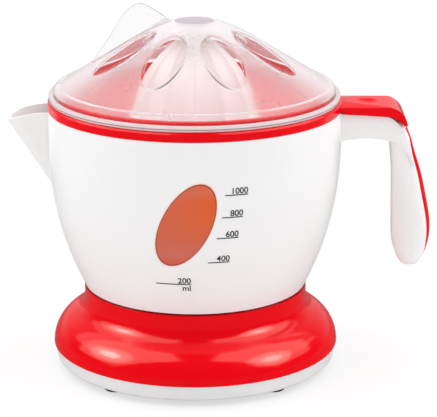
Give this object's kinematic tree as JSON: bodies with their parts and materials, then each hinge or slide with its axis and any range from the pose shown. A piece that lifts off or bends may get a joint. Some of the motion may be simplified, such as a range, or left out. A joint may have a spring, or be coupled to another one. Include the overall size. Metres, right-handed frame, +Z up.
{
  "type": "citrus juicer",
  "caption": "Electric citrus juicer: round motor base, measuring jug with spout and hanging handle, strainer bowl, fluted reamer and clear domed cover.",
  "frame": {"origin": "centre of the bounding box's lower face, on the surface that the feet stand on", "axes": "+X towards the handle, -X towards the spout, -Y towards the level window, +Z up"},
  "size_m": [0.2377, 0.164, 0.2068],
  "materials": {
    "red_plastic": "glossy opaque red moulded plastic",
    "white_plastic": "glossy opaque white moulded plastic",
    "pan_plastic": "satin white moulded plastic",
    "clear_plastic": "clear, slightly hazy moulded plastic",
    "window_plastic": "translucent orange-red moulded plastic",
    "foot_rubber": "matte black rubber",
    "gear_plastic": "natural acetal",
    "deck_plastic": "dark glass-filled plastic",
    "bright_steel": "bright steel",
    "core_steel": "laminated electrical steel",
    "magnet": "dark ferrite",
    "copper": "enamelled copper winding",
    "bush_bronze": "sintered bronze",
    "switch_plastic": "black thermoset"
  },
  "bodies": {
    "base": {"base_housing": "red_plastic", "base_plate": "pan_plastic", "foot_rear_right": "foot_rubber", "foot_front_right": "foot_rubber", "foot_front_left": "foot_rubber", "foot_rear_left": "foot_rubber", "cord_gland": "foot_rubber", "base_screws": "bright_steel", "spindle_bush": "bush_bronze", "gear_plate": "deck_plastic", "plate_screws": "bright_steel", "compound_pin": "bright_steel", "motor_core": "core_steel", "coil_front": "copper", "coil_rear": "copper", "rotor_bracket": "bright_steel", "micro_switch": "switch_plastic", "lever_pin": "bright_steel", "spindle_spring": "bright_steel"},
    "output": {"output_gear": "gear_plastic"},
    "spindle": {"drive_spindle": "gear_plastic"},
    "compound": {"compound_gear": "gear_plastic"},
    "rotor": {"motor_rotor": "magnet", "rotor_shaft": "bright_steel", "motor_pinion": "gear_plastic"},
    "lever": {"switch_lever": "bright_steel"},
    "button": {"switch_button": "red_plastic"},
    "jug": {"jug": "white_plastic", "jug_floor": "white_plastic", "jug_column": "white_plastic", "level_window": "window_plastic", "handle_back_strip": "red_plastic"},
    "strainer": {"strainer": "red_plastic"},
    "reamer": {"reamer": "white_plastic"},
    "cover": {"dust_cover": "clear_plastic"}
  },
  "joints": [
    {"name": "jug_lift", "type": "slide", "parent": "base", "child": "jug", "axis": [0, 0, 1], "range_m": [0, 0.135]},
    {"name": "strainer_lift", "type": "slide", "parent": "jug", "child": "strainer", "axis": [0, 0, 1], "range_m": [0, 0.05]},
    {"name": "cover_lift", "type": "slide", "parent": "strainer", "child": "cover", "axis": [0, 0, 1], "range_m": [0, 0.06]},
    {"name": "reamer_spin", "type": "hinge", "parent": "strainer", "child": "reamer", "pos_m": [-0.0142, 0, 0], "axis": [0, 0, 1], "continuous": true},
    {"name": "output_spin", "type": "hinge", "parent": "base", "child": "output", "pos_m": [-0.0142, 0, 0], "axis": [0, 0, 1], "continuous": true},
    {"name": "compound_spin", "type": "hinge", "parent": "base", "child": "compound", "pos_m": [-0.04224, -0.01368, 0.03], "axis": [0, 0, 1], "continuous": true},
    {"name": "rotor_spin", "type": "hinge", "parent": "base", "child": "rotor", "pos_m": [-0.03857, -0.03982, 0.02], "axis": [0, 0, 1], "continuous": true},
    {"name": "spindle_press", "type": "slide", "parent": "output", "child": "spindle", "axis": [0, 0, -1], "range_m": [0, 0.003], "stiffness_N_per_m": 600, "springref_m": -0.005, "deforming": ["spindle_spring"]},
    {"name": "lever_tilt", "type": "hinge", "parent": "base", "child": "lever", "pos_m": [0.0188, 0, 0.01609], "axis": [0, -1, 0], "range_deg": [0, 7.8]},
    {"name": "button_push", "type": "slide", "parent": "base", "child": "button", "axis": [0, 0, -1], "range_m": [0, 0.0013]}
  ],
  "couplings": [
    {"joint": "compound_spin", "follows": "rotor_spin", "ratio": -0.22222},
    {"joint": "output_spin", "follows": "rotor_spin", "ratio": 0.040404},
    {"joint": "reamer_spin", "follows": "rotor_spin", "ratio": 0.040404},
    {"joint": "lever_tilt", "follows": "spindle_press", "rad_per_m": 44.6},
    {"joint": "button_push", "follows": "spindle_press", "ratio": 0.4167}
  ]
}
